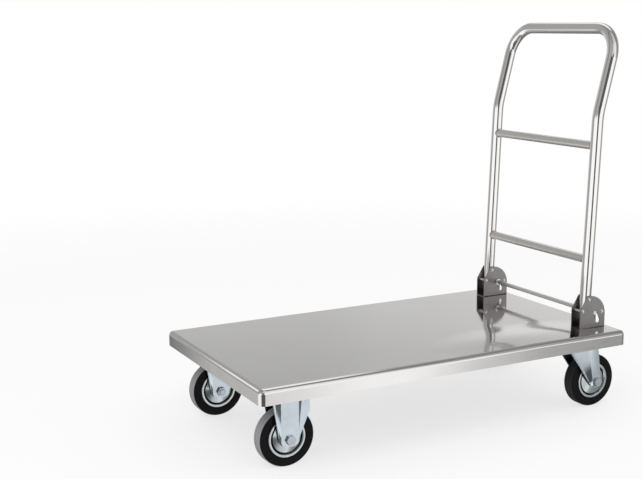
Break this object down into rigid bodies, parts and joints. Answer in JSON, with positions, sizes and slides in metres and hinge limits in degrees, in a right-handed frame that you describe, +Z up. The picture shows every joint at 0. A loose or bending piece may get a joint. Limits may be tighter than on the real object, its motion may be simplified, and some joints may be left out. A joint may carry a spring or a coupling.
{
  "type": "folding platform trolley",
  "caption": "Folding platform trolley with a polished pan deck, a bent tube handle on hinge brackets with a sprung foot lock, and fixed and swivel casters.",
  "frame": {"origin": "on the floor, under the middle of the trolley's box with the swivel casters trailing back", "axes": "+X to the handle end, +Y to the left of someone facing that way, +Z up"},
  "size_m": [0.9216, 0.5, 0.8647],
  "materials": {
    "mirror_stainless": "pressed sheet, polished to a soft mirror",
    "tube_stainless": "mirror-polished bent tube",
    "crossbar_stainless": "polished tube",
    "bracket_stainless": "polished folded sheet",
    "channel_stainless": "mill finish",
    "rivet_steel": "bright drawn",
    "zinc_fastener": "zinc plated",
    "spring_steel": "bright drawn wire",
    "end_plug_plastic": "moulded",
    "zinc_fork": "blue-bright zinc plate",
    "zinc_axle": "zinc plated",
    "bearing_steel": "ground",
    "tyre_rubber": "moulded black rubber, satin",
    "rim_zinc": "pressed disc, zinc plated",
    "bush_nylon": "moulded nylon"
  },
  "bodies": {
    "chassis": {"deck_panel": "mirror_stainless", "front_cross_member": "channel_stainless", "rear_cross_member": "channel_stainless", "left_rail": "channel_stainless", "right_rail": "channel_stainless", "left_hinge_bracket": "bracket_stainless", "right_hinge_bracket": "bracket_stainless", "pivot_pins": "rivet_steel", "stop_pins": "rivet_steel", "spring_pins": "rivet_steel", "bracket_bolts": "zinc_fastener", "bracket_nuts": "zinc_fastener", "left_return_spring": "spring_steel", "right_return_spring": "spring_steel", "caster_bolts": "zinc_fastener", "caster_nuts": "zinc_fastener", "front_left_fork": "zinc_fork", "front_left_axle_bolt": "zinc_axle", "front_left_axle_nut": "zinc_axle", "rear_left_swivel_plate": "zinc_fork", "rear_left_kingpin": "zinc_axle", "front_right_fork": "zinc_fork", "front_right_axle_bolt": "zinc_axle", "front_right_axle_nut": "zinc_axle", "rear_right_swivel_plate": "zinc_fork", "rear_right_kingpin": "zinc_axle"},
    "handle": {"handle_tube": "tube_stainless", "upper_crossbar": "crossbar_stainless", "lower_crossbar": "crossbar_stainless", "handle_end_plugs": "end_plug_plastic"},
    "lock_rod": {"lock_rod": "rivet_steel", "rod_clips": "rivet_steel"},
    "front_left_wheel": {"front_left_tyre": "tyre_rubber", "front_left_rim_discs": "rim_zinc", "front_left_hub_bush": "bush_nylon"},
    "front_right_wheel": {"front_right_tyre": "tyre_rubber", "front_right_rim_discs": "rim_zinc", "front_right_hub_bush": "bush_nylon"},
    "left_swivel": {"rear_left_fork": "zinc_fork", "rear_left_swivel_balls": "bearing_steel", "rear_left_axle_bolt": "zinc_axle", "rear_left_axle_nut": "zinc_axle"},
    "rear_left_wheel": {"rear_left_tyre": "tyre_rubber", "rear_left_rim_discs": "rim_zinc", "rear_left_hub_bush": "bush_nylon"},
    "right_swivel": {"rear_right_fork": "zinc_fork", "rear_right_swivel_balls": "bearing_steel", "rear_right_axle_bolt": "zinc_axle", "rear_right_axle_nut": "zinc_axle"},
    "rear_right_wheel": {"rear_right_tyre": "tyre_rubber", "rear_right_rim_discs": "rim_zinc", "rear_right_hub_bush": "bush_nylon"}
  },
  "joints": [
    {"name": "handle_fold", "type": "hinge", "parent": "chassis", "child": "handle", "pos_m": [0.37575, 0, 0.2528], "axis": [0, -1, 0], "range_deg": [0, 98]},
    {"name": "lock_rod_press", "type": "slide", "parent": "chassis", "child": "lock_rod", "axis": [0.4067, 0, -0.9135], "range_m": [0, 0.02], "stiffness_N_per_m": 400, "springref_m": -0.01, "deforming": ["left_return_spring", "right_return_spring"]},
    {"name": "front_left_wheel_spin", "type": "hinge", "parent": "chassis", "child": "front_left_wheel", "pos_m": [-0.37675, 0.175, 0.0605], "axis": [0, 1, 0], "continuous": true},
    {"name": "front_right_wheel_spin", "type": "hinge", "parent": "chassis", "child": "front_right_wheel", "pos_m": [-0.37675, -0.175, 0.0605], "axis": [0, 1, 0], "continuous": true},
    {"name": "left_caster_swivel", "type": "hinge", "parent": "chassis", "child": "left_swivel", "pos_m": [0.35925, 0.175, 0.1478], "axis": [0, 0, 1], "continuous": true},
    {"name": "rear_left_wheel_spin", "type": "hinge", "parent": "left_swivel", "child": "rear_left_wheel", "pos_m": [0.40025, 0.175, 0.0605], "axis": [0, 1, 0], "continuous": true},
    {"name": "right_caster_swivel", "type": "hinge", "parent": "chassis", "child": "right_swivel", "pos_m": [0.35925, -0.175, 0.1478], "axis": [0, 0, 1], "continuous": true},
    {"name": "rear_right_wheel_spin", "type": "hinge", "parent": "right_swivel", "child": "rear_right_wheel", "pos_m": [0.40025, -0.175, 0.0605], "axis": [0, 1, 0], "continuous": true}
  ]
}
